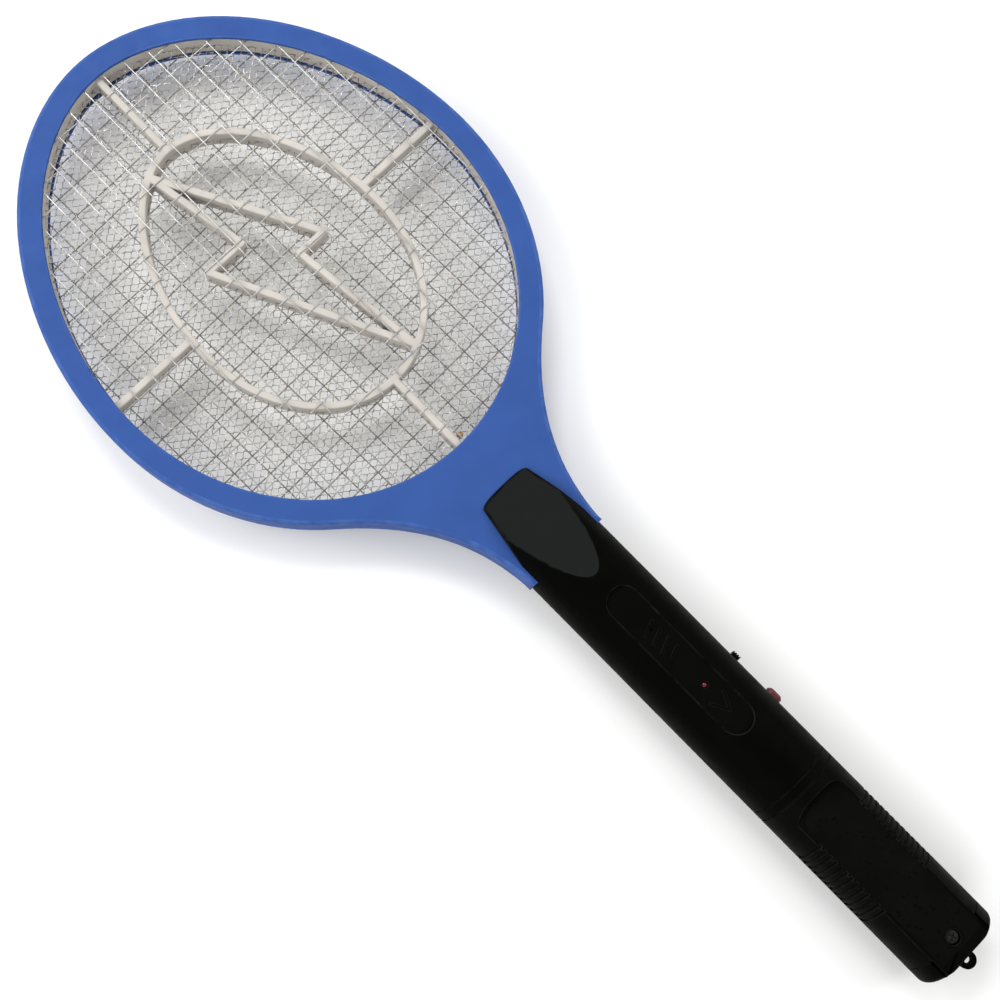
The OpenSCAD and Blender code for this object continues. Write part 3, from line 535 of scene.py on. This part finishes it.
class Tree:
    """One Geometry Nodes tree with named inputs, from the object's own mesh to its finished one."""

    def __init__(self, name, **sizes):
        self.group = bpy.data.node_groups.new(name, "GeometryNodeTree")
        sides = self.group.interface
        sides.new_socket("Geometry", in_out="INPUT", socket_type="NodeSocketGeometry")
        for label, value in sizes.items():
            kind = "NodeSocketInt" if isinstance(value, int) else "NodeSocketFloat"
            sides.new_socket(label, in_out="INPUT", socket_type=kind).default_value = value
        sides.new_socket("Finish", in_out="INPUT", socket_type="NodeSocketMaterial")
        sides.new_socket("Geometry", in_out="OUTPUT", socket_type="NodeSocketGeometry")
        self.inputs = self.group.nodes.new("NodeGroupInput").outputs

    def add(self, kind, inputs=(), output=0, **settings):
        return fill(self.group, self.group.nodes.new(kind), inputs, settings).outputs[output]

    def math(self, operation, first, second):
        return self.add("ShaderNodeMath", {0: first, 1: second}, operation=operation)

    def vector(self, operation, first, second):
        return self.add("ShaderNodeVectorMath", {0: first, 1: second}, operation=operation)

    def round_section(self):
        """A round profile as thick as the tree's wire."""
        return self.add("GeometryNodeCurvePrimitiveCircle", {
            "Resolution": self.inputs["Sides"],
            "Radius": self.math("MULTIPLY", self.inputs["Thickness"], 0.5)})

    def sweep(self, curve, section):
        return self.add("GeometryNodeCurveToMesh", {"Curve": curve, "Profile Curve": section,
                                                    "Fill Caps": True})

    def finish(self, geometry):
        real = self.add("GeometryNodeRealizeInstances", {"Geometry": geometry})
        done = self.add("GeometryNodeSetMaterial", {"Geometry": real, "Material": self.inputs["Finish"]})
        end = self.group.nodes.new("NodeGroupOutput")
        self.group.links.new(done, end.inputs["Geometry"])

    def grow(self, name, mesh, material, **values):
        """A new object of the given start mesh, grown by this tree into a plain mesh."""
        obj = new_object(name, mesh)
        modifier = obj.modifiers.new(self.group.name, "NODES")
        modifier.node_group = self.group
        values["Finish"] = material
        for item in self.group.interface.items_tree:
            if item.in_out == "INPUT" and item.name in values:
                modifier[item.identifier] = values[item.name]
        return plain(obj)


def wire_tree():
    """Round wires along the start mesh's edges, with a slight waver."""
    tree = Tree("round_wires", Thickness=0.45 * MM, Sides=10, Step=5 * MM, Waver=0.1 * MM,
                Bends=60.0, Seed=1.0)
    curve = tree.add("GeometryNodeMeshToCurve", {"Mesh": tree.inputs["Geometry"]})
    curve = tree.add("GeometryNodeResampleCurve", {"Curve": curve, "Length": tree.inputs["Step"]},
                     mode="LENGTH")
    place = tree.add("GeometryNodeInputPosition")
    drift = tree.add("ShaderNodeTexNoise", {"Vector": place, "Scale": tree.inputs["Bends"],
                                            "W": tree.inputs["Seed"]},
                     output="Color", noise_dimensions="4D")
    centred = tree.vector("SUBTRACT", drift, (0.5, 0.5, 0.5))
    level = tree.vector("MULTIPLY", centred, (2.0, 2.0, 0.1))
    offset = tree.add("ShaderNodeVectorMath", {0: level, "Scale": tree.inputs["Waver"]}, operation="SCALE")
    curve = tree.add("GeometryNodeSetPosition", {"Geometry": curve, "Offset": offset})
    body = tree.sweep(curve, tree.round_section())
    tree.finish(tree.add("GeometryNodeSetShadeSmooth", {"Geometry": body}))
    return tree


def strand_tree():
    """Flat strands along the start mesh's edges, each turned a little its own way."""
    tree = Tree("flat_strands", Width=0.3 * MM, Thickness=0.12 * MM, Tilt=0.5, Scatter=1.0, Seed=7)
    curve = tree.add("GeometryNodeMeshToCurve", {"Mesh": tree.inputs["Geometry"]})
    curve = tree.add("GeometryNodeSetCurveNormal", {"Curve": curve}, mode="Z_UP")
    low = tree.math("SUBTRACT", tree.inputs["Tilt"], tree.inputs["Scatter"])
    high = tree.math("ADD", tree.inputs["Tilt"], tree.inputs["Scatter"])
    turn = tree.add("FunctionNodeRandomValue", {2: low, 3: high, "Seed": tree.inputs["Seed"]},
                    output=1, data_type="FLOAT")
    curve = tree.add("GeometryNodeSetCurveTilt", {"Curve": curve, "Tilt": turn})
    flat_section = tree.add("GeometryNodeCurvePrimitiveQuadrilateral", {
        "Width": tree.inputs["Width"], "Height": tree.inputs["Thickness"]})
    tree.finish(tree.sweep(curve, flat_section))
    return tree


def coil_tree():
    """A conical coil of wire that stands on the origin and rises along +Z."""
    tree = Tree("wire_coil", Turns=3.5, Steps=36, Base=4.2 * MM, Tip=3.0 * MM, Height=4.9 * MM,
                Thickness=SPRING_WIRE * MM, Sides=12)
    spiral = tree.add("GeometryNodeCurveSpiral", {
        "Resolution": tree.inputs["Steps"], "Rotations": tree.inputs["Turns"],
        "Start Radius": tree.inputs["Base"], "End Radius": tree.inputs["Tip"],
        "Height": tree.inputs["Height"]})
    body = tree.sweep(spiral, tree.round_section())
    tree.finish(tree.add("GeometryNodeSetShadeSmooth", {"Geometry": body}))
    return tree


# ---------------------------------------------------------------- head

# Rounding of the frame's edges, in mm
TANG_ROUND = 0.2
LIP_ROUND = 0.55
RIM_ROUND = 1.5
SEAM_ROUND = 0.22
# How far behind the tongue's tip the neck's tang starts, in mm
TANG_START = 30
# Middle of the head, in mm, and how round it is taken to be when inward and outward are told apart
HEAD_MIDDLE = 115
HEAD_ROUNDNESS = 0.8

# Expanded metal: one open diamond, a bond's length, and half the distance between two strands at a bond
CELL_ACROSS = 4.3 * MM
CELL_ALONG = 3.0 * MM
BOND = 0.7 * MM
PARTING = 0.06 * MM
# Least and most that a strand ends short of the outline, and how far its corners stray, in mm
SHORT_END = (0.2, 1.6)
STRAY = 0.05


def islands(node):
    """The corner lists of each separate solid in a node."""
    bm = merged(node)
    seen = set()
    found = []
    for first in bm.verts:
        if first in seen:
            continue
        seen.add(first)
        queue = [first]
        group = []
        while queue:
            vert = queue.pop()
            group.append(vert.co.copy())
            for edge in vert.link_edges:
                other = edge.other_vert(vert)
                if other not in seen:
                    seen.add(other)
                    queue.append(other)
        found.append(group)
    bm.free()
    return found


def axis_ends(points):
    """The middles of a straight wire's two end faces."""
    spread = [max(p[i] for p in points) - min(p[i] for p in points) for i in range(2)]
    i = spread.index(max(spread))
    middle = (max(p[i] for p in points) + min(p[i] for p in points)) / 2
    halves = [[p for p in points if p[i] < middle], [p for p in points if p[i] >= middle]]
    return [sum(half, Vector()) / len(half) for half in halves]


def line_mesh(name, lines):
    """A mesh of separate runs of edges."""
    mesh = bpy.data.meshes.new(name)
    points = [point for line in lines for point in line]
    edges = []
    first = 0
    for line in lines:
        edges += [(first + i, first + i + 1) for i in range(len(line) - 1)]
        first += len(line)
    mesh.from_pydata(points, edges, [])
    return mesh


def make_guards():
    """Each guard's round wires, where its CAD wires are. The rear ones are painted darker, as painted shade
    under the layers above them, and are less straight.
    """
    tree = wire_tree()
    front = drawn_wire("front_wire", FRONT_WIRE, 0.32, FRONT_WIRE_DULL)
    rear = drawn_wire("rear_wire_painted_shade", REAR_WIRE_PAINTED_SHADE, 0.3, REAR_WIRE_DULL_PAINTED_SHADE)
    for node, material, waver, seed in (("front_guard", front, 0.1, 3.0), ("rear_guard", rear, 0.4, 4.0)):
        lines = [axis_ends(points) for points in islands(node)]
        guard = tree.grow(node + "_wires", line_mesh(node, lines), material, Waver=waver * MM, Seed=seed)
        show(guard, "racket", "guard_wire", material, node)


def outline_of(node):
    """A flat node's outline as points in order round its middle."""
    bm = merged(node)
    top = max(v.co.z for v in bm.verts)
    points = [v.co.copy() for v in bm.verts if v.co.z > top - 0.05 * MM]
    bm.free()
    centre = sum(points, Vector()) / len(points)
    return sorted(points, key=lambda p: math.atan2(p.y - centre.y, p.x - centre.x))


def reach_at(outline, y):
    """Half the width of an outline at a height y, or None outside it."""
    best = None
    for a, b in zip(outline, outline[1:] + outline[:1]):
        if min(a.y, b.y) <= y <= max(a.y, b.y) and a.y != b.y:
            x = a.x + (b.x - a.x) * (y - a.y) / (b.y - a.y)
            best = max(best or 0, abs(x))
    return best


def strand_rows(outline):
    """Zigzag strands of expanded metal, each bonded to the next at its peaks."""
    dice = random.Random(11)
    low = min(p.y for p in outline)
    high = max(p.y for p in outline)
    step = CELL_ACROSS / 2
    rise = CELL_ALONG / 2
    rows = []
    for row in range(int((high - low) / rise)):
        y0 = low + row * rise
        reach = reach_at(outline, y0 + rise / 2)
        if not reach:
            continue
        left = -reach + dice.uniform(*SHORT_END) * MM
        right = reach - dice.uniform(*SHORT_END) * MM
        line = []
        for i in range(math.ceil(left / step), math.floor(right / step) + 1):
            peak = (i + row) % 2
            y = y0 + rise * peak + (-PARTING if peak else PARTING)
            jitter = Vector((dice.uniform(-STRAY, STRAY), dice.uniform(-STRAY, STRAY), 0)) * MM
            for side in (-1, 1):
                line.append(Vector((i * step + side * BOND / 2, y, MIDDLE_Z)) + jitter)
        if len(line) > 3:
            rows.append(line)
    return rows


def make_live_mesh():
    metal = live_metal()
    rows = strand_rows(outline_of("live_mesh"))
    mesh = strand_tree().grow("live_mesh_strands", line_mesh("strands", rows), metal)
    show(mesh, "racket", "live_metal", metal, "live_mesh")


def make_frame_halves():
    """The rim's outer edge is well rounded, its lip less so, and the neck's tang is nearly sharp."""
    def radius(middle, edge):
        level = abs(middle.z - MIDDLE_Z / MM)
        upright = abs(edge.verts[0].co.z - edge.verts[1].co.z) > 0.7 * edge.calc_length()
        if upright:
            return 0
        if middle.y < TONGUE_TIP_Y / MM - TANG_START:
            return TANG_ROUND
        if level > (FACE_Z - MIDDLE_Z) / MM - 0.3:
            outward = Vector((middle.x, (middle.y - HEAD_MIDDLE) * HEAD_ROUNDNESS, 0))
            facing = next((face.normal for face in edge.link_faces if abs(face.normal.z) < 0.5), UP)
            return LIP_ROUND if facing.dot(outward) < 0 else RIM_ROUND
        return SEAM_ROUND
    for node, seed in (("frame_front", 0.0), ("frame_rear", 4.0)):
        half = softened(node, node + "_moulding", radius, 4, finest=0.06)
        show(half, "racket", "frame_plastic", frame_plastic(node + "_blue", seed), node)


def make_spacers():
    cream = spacer_plastic()
    for node in ("front_spacer", "rear_spacer"):
        bars = softened(node, node + "_moulding", 0.6, whole_faces=False, finest=0.004)
        show(bars, "racket", "spacer_plastic", cream, node)


def make_eyelet_and_leads():
    show(softened("contact_eyelet", "rolled_eyelet", 0.12, clamp=True), "racket", "eyelet_brass", brass(),
         "contact_eyelet")
    red = lead_skin("lead_red", LEAD_RED)
    show(tube_copy("live_lead", "live_wire"), "racket", "red_insulation", red, "live_lead")
    show(tube_copy("ground_leads", "ground_wires"), "racket", "black_insulation",
         lead_skin("lead_black", LEAD_BLACK), "ground_leads")
    show(tube_copy("battery_leads", "battery_wires"), "racket", "red_insulation", red, "battery_leads")


# ---------------------------------------------------------------- handle

# Station where the tongue's sides leave the handle's round body, in mm
TONGUE_FREE = -20.0
# Rounding of the shells' edges, in mm
END_ROUND = 0.12
FACET_ROUND = 0.25
TONGUE_ROUND = 1.0
FRONT_ROUND = 0.4
REAR_ROUND = 0.25


def on_facet(face):
    """True on the handle's sloped facet, which leans a little towards the head."""
    return face.normal.z > 0.95 and face.normal.y > 0.12


def make_handle():
    """The two shells and the inlaid panel. The thin parting line beside the tongue stays sharp."""
    seam_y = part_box("handle_front")[0].y / MM

    def radius(middle, edge):
        if middle.y < seam_y + 8:
            return END_ROUND
        if middle.y > TONGUE_FREE - 12 and abs(middle.z - MIDDLE_Z / MM) < 1.2:
            return 0
        lowest_facing = min(face.normal.z for face in edge.link_faces)
        if on_facet(edge.link_faces[0]) != on_facet(edge.link_faces[1]) and lowest_facing < 0.5:
            return TONGUE_ROUND if middle.y > TONGUE_FREE else FACET_ROUND
        return FRONT_ROUND if middle.z > MIDDLE_Z / MM + 1 else REAR_ROUND
    shell = handle_black()
    for node in ("handle_front", "handle_rear"):
        half = softened(node, node + "_shell", radius)
        # The facet mask carries the painted reflection in handle_black()
        mark_faces(half, "facet", on_facet)
        show(half, "racket", "handle_plastic", shell, node)
    inlay = black_moulding("inlay_black", INLAY_BLACK, 0.5, 0.0004, 0.00003, 2.0).material
    show(softened("label_panel", "inlaid_panel", 0.12), "racket", "panel_plastic", inlay, "label_panel")


def make_controls():
    """Lamp, slide knob and push button."""
    lens = clear_red("lamp_red", LAMP_RED, 0.15, 0.6)
    show(softened("led", "lamp", 0.08, clamp=True), "racket", "lamp_lens", lens, "led")
    nub = black_moulding("knob_black", KNOB_BLACK, 0.45, 0.0004, 0.00003, 3.0).material
    show(softened("slide_knob", "slider_nub", 0.22, clamp=True), "slider", "knob_plastic", nub, "slide_knob")
    red = clear_red("button_red", BUTTON_RED, 0.45, 0.0)
    show(softened("push_button", "red_button", 0.35, clamp=True), "button", "button_plastic", red,
         "push_button")


# ---------------------------------------------------------------- battery cover

# Rounding of the cover's edges, in mm
COVER_FRONT_ROUND = 0.08
RIB_ROUND = 0.14
COVER_ROUND = 0.28

# The pad's surface above the handle's middle, its half width, and the length of its rounded front end
PAD_LEVEL = 12.65 * MM
PAD_HALF = 10.0 * MM
PAD_NOSE = 7.0 * MM
# Space between the pad and the cover's front and rear ends, and round the screw's recess
PAD_FRONT_SPACE = 5.6 * MM
PAD_REAR_SPACE = 3.4 * MM
PAD_SCREW_SPACE = 3.3 * MM
PAD_SHEET = 0.35 * MM
PAD_STEP = 0.42 * MM

PIT_COUNT = 150
PIT_RADIUS = (0.35, 0.75)
PIT_DEPTH = (0.05, 0.13)
DEEPEST_PIT = 0.16 * MM


def pad_skin(low, high, level):
    """The pad's leather-like skin: a thin closed sheet with scattered pits."""
    dice = random.Random(5)
    start = high.y - PAD_FRONT_SPACE
    stop = low.y + PAD_REAR_SPACE
    pits = [(dice.uniform(-PAD_HALF, PAD_HALF), dice.uniform(stop, start - 3 * MM),
             dice.uniform(*PIT_RADIUS) * MM, dice.uniform(*PIT_DEPTH) * MM) for _ in range(PIT_COUNT)]
    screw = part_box("cover_screw")
    hole = ((screw[0] + screw[1]) / 2).xy

    def inside(x, y):
        if (Vector((x, y)) - hole).length < PAD_SCREW_SPACE:
            return False
        drop = (start - y) / PAD_NOSE
        width = PAD_HALF * (1 - max(0.0, 1 - drop) ** 2.5) ** 0.4 if drop >= 0 else 0
        return abs(x) < width and y > stop

    def depth(x, y):
        sink = 0.0
        for pit_x, pit_y, pit_radius, pit_depth in pits:
            gap = ((x - pit_x) ** 2 + (y - pit_y) ** 2) / (pit_radius * pit_radius)
            if gap < 6:
                sink += pit_depth * math.exp(-gap * 1.4)
        return min(sink, DEEPEST_PIT)
    bm = bmesh.new()
    top = {}
    bottom = {}
    columns = int(PAD_HALF / PAD_STEP) + 1
    for i in range(-columns, columns + 1):
        for j in range(int((start - stop) / PAD_STEP) + 2):
            x = i * PAD_STEP
            y = start - j * PAD_STEP
            if inside(x, y):
                top[i, j] = bm.verts.new((x, y, level - depth(x, y)))
                bottom[i, j] = bm.verts.new((x, y, level - PAD_SHEET))
    for grid in (top, bottom):
        for i, j in grid:
            corners = [grid.get(key) for key in ((i, j), (i, j + 1), (i + 1, j + 1), (i + 1, j))]
            if all(corners):
                bm.faces.new(corners if grid is top else corners[::-1])
    under = {top[key]: bottom[key] for key in top}
    for edge in [edge for edge in bm.edges if edge.is_boundary and edge.verts[0] in under]:
        a, b = edge.verts
        bm.faces.new((b, a, under[a], under[b]))
    bmesh.ops.delete(bm, geom=[v for v in bm.verts if not v.link_faces], context="VERTS")
    bmesh.ops.recalc_face_normals(bm, faces=bm.faces)
    return smooth(from_bmesh("pad_skin", bm), 50)


def make_cover():
    """The ribbed cover with its pad, its screw, and the screws in the back of the handle."""
    grip = black_moulding("cover_black", COVER_BLACK, 0.5, 0.0006, 0.00006, 6.0).material
    low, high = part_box("battery_cover")

    def radius(middle, edge):
        if middle.y > high.y / MM - 1.5:
            return COVER_FRONT_ROUND
        ribbed = low.y / MM + 14 < middle.y < high.y / MM - 6
        return RIB_ROUND if ribbed or abs(middle.x) > 9 else COVER_ROUND
    shell = softened("battery_cover", "cover_shell", radius)
    show(shell, "cover", "cover_plastic", grip, "battery_cover")
    skin = black_moulding("pad_black", PAD_BLACK, 0.4, 0.0003, 0.00003, 8.0).material
    show(pad_skin(low, high, MIDDLE_Z + PAD_LEVEL), "cover", "cover_plastic", skin)
    steel = turned_steel("screw_steel", SCREW_STEEL, 0.3)
    head = softened("cover_screw", "cover_screw_head", 0.12, whole_faces=False)
    show(head, "screw", "screw_steel", steel, "cover_screw")
    heads = softened("handle_screws", "shell_screws", 0.12, whole_faces=False)
    show(heads, "racket", "screw_steel", steel, "handle_screws")


# ---------------------------------------------------------------- cells and contacts

# Sizes of a cell, in mm: its can, the jacket outside and inside, and the nub
CAN_RADIUS = 7.0
JACKET_RADIUS = 7.24
JACKET_INSIDE = 7.05
NUB_RADIUS = 2.75
NUB_HEIGHT = 1.2
# Share of a cell's length where its white band starts
BAND_START = 0.8
# Thickness of the springs' wire, in mm
SPRING_WIRE = 0.8


def cell_profiles(length, nub):
    """Profiles of the steel can, with its nub, and of the jacket shrunk on it."""
    can = [(0, 0.05), (5.3, 0.05), (5.7, 0.3), (6.3, 0.3), (6.8, 0.45), (CAN_RADIUS, 0.9),
           (CAN_RADIUS, length - 0.9), (6.6, length - 0.4), (3.6, length - 0.35), (3.2, length - 0.1),
           (NUB_RADIUS, length + 0.1), (NUB_RADIUS, length + nub - 0.35), (2.4, length + nub),
           (0, length + nub)]
    jacket = [(6.5, 0.2), (6.95, 0.15), (7.2, 0.5), (JACKET_RADIUS, 1.2),
              (JACKET_RADIUS, length * BAND_START), (JACKET_RADIUS, length - 2.6),
              (7.12, length - 2.2), (7.12, length - 1.9),
              (JACKET_RADIUS, length - 1.5), (7.22, length - 0.6), (6.9, length - 0.12),
              (5.6, length - 0.1), (5.6, length - 0.3), (6.7, length - 0.42), (JACKET_INSIDE, length - 0.9),
              (JACKET_INSIDE, 0.9), (6.85, 0.5), (6.5, 0.2)]
    return can, jacket


def make_cells():
    """Two cells that lie head to tail, each a can in its jacket."""
    green = cell_jacket()
    steel = turned_steel("can_steel", CAN_STEEL, 0.25)
    for node, along in (("cell_left", ALONG), ("cell_right", -ALONG)):
        low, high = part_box(node)
        middle = (low + high) / 2
        start = Vector((middle.x, low.y if along.y > 0 else high.y, middle.z))
        can, jacket = cell_profiles((high.y - low.y) / MM - NUB_HEIGHT, NUB_HEIGHT)
        show(lathe(node + "_can", can, start, along), "racket", "contact_steel", steel, node)
        skin = lathe(node + "_jacket", jacket, start, along)
        band = start + along * (high.y - low.y) * BAND_START
        mark_faces(skin, "band", lambda face: (face.center - band).dot(along) > 0)
        show(skin, "racket", "cell_jacket", green, node)


def make_contacts():
    """The contact plates, and a wound spring for each cell."""
    steel = turned_steel("contact_steel", PLATE_STEEL, 0.28)
    for node in ("contact_positive", "contact_negative", "contact_link"):
        show(softened(node, node + "_plate", 0.12), "racket", "contact_steel", steel, node)
    coil = coil_tree()
    coils = sorted(islands("contact_springs"), key=lambda points: points[0].x)
    for name, points, facing in (("spring_left", coils[0], 1), ("spring_right", coils[1], -1)):
        low = Vector([min(p[i] for p in points) for i in range(3)])
        high = Vector([max(p[i] for p in points) for i in range(3)])
        spring = coil.grow(name, bpy.data.meshes.new(name), steel)
        turn = Matrix.Rotation(math.radians(-90 * facing), 4, "X")
        foot_y = (low.y if facing > 0 else high.y) + facing * SPRING_WIRE / 2 * MM
        foot = Vector(((low.x + high.x) / 2, foot_y, MIDDLE_Z))
        spring.data.transform(Matrix.Translation(foot) @ turn)
        show(spring, "racket", "contact_steel", steel, "contact_springs")


# ---------------------------------------------------------------- circuit

def make_circuit():
    """The board, its parts and the switches. Each row has its slot, its finish and its rounding in mm."""
    coats = {
        "circuit_board": ("board_laminate", board_laminate(), 0.15),
        "transformer_core": ("ferrite", part_coat("core_ferrite", FERRITE_GREY, 0.6), 0.3),
        "transformer_coil": ("coil_tape", part_coat("coil_tape", TAPE_YELLOW, 0.35), 0.5),
        "storage_capacitors": ("capacitor_coat", part_coat("capacitor_coat", CAPACITOR_BROWN, 0.2), 1.0),
        "rectifier_diodes": ("component_black", part_coat("diode_black", COMPONENT_BLACK, 0.4), 0.15),
        "resistors": ("resistor_coat", part_coat("resistor_coat", RESISTOR_TAN, 0.45), 0.3),
        "transistor": ("component_black", part_coat("transistor_black", COMPONENT_BLACK, 0.5), 0.15),
        "slide_switch_case": ("contact_steel", turned_steel("switch_steel", SWITCH_STEEL), 0.2),
        "push_switch_case": ("component_black", part_coat("switch_black", COMPONENT_BLACK, 0.5), 0.2),
    }
    for node, (slot, material, radius) in coats.items():
        show(softened(node, node + "_body", radius, clamp=True), "racket", slot, material, node)
    plunger = part_coat("plunger_black", PLUNGER_BLACK, 0.4)
    show(softened("switch_plunger", "plunger", 0.2, clamp=True), "button", "component_black", plunger,
         "switch_plunger")


make_camera()
make_studio()
make_floor()
make_frame_halves()
make_spacers()
make_guards()
make_live_mesh()
make_eyelet_and_leads()
make_handle()
make_controls()
make_cover()
make_cells()
make_contacts()
make_circuit()
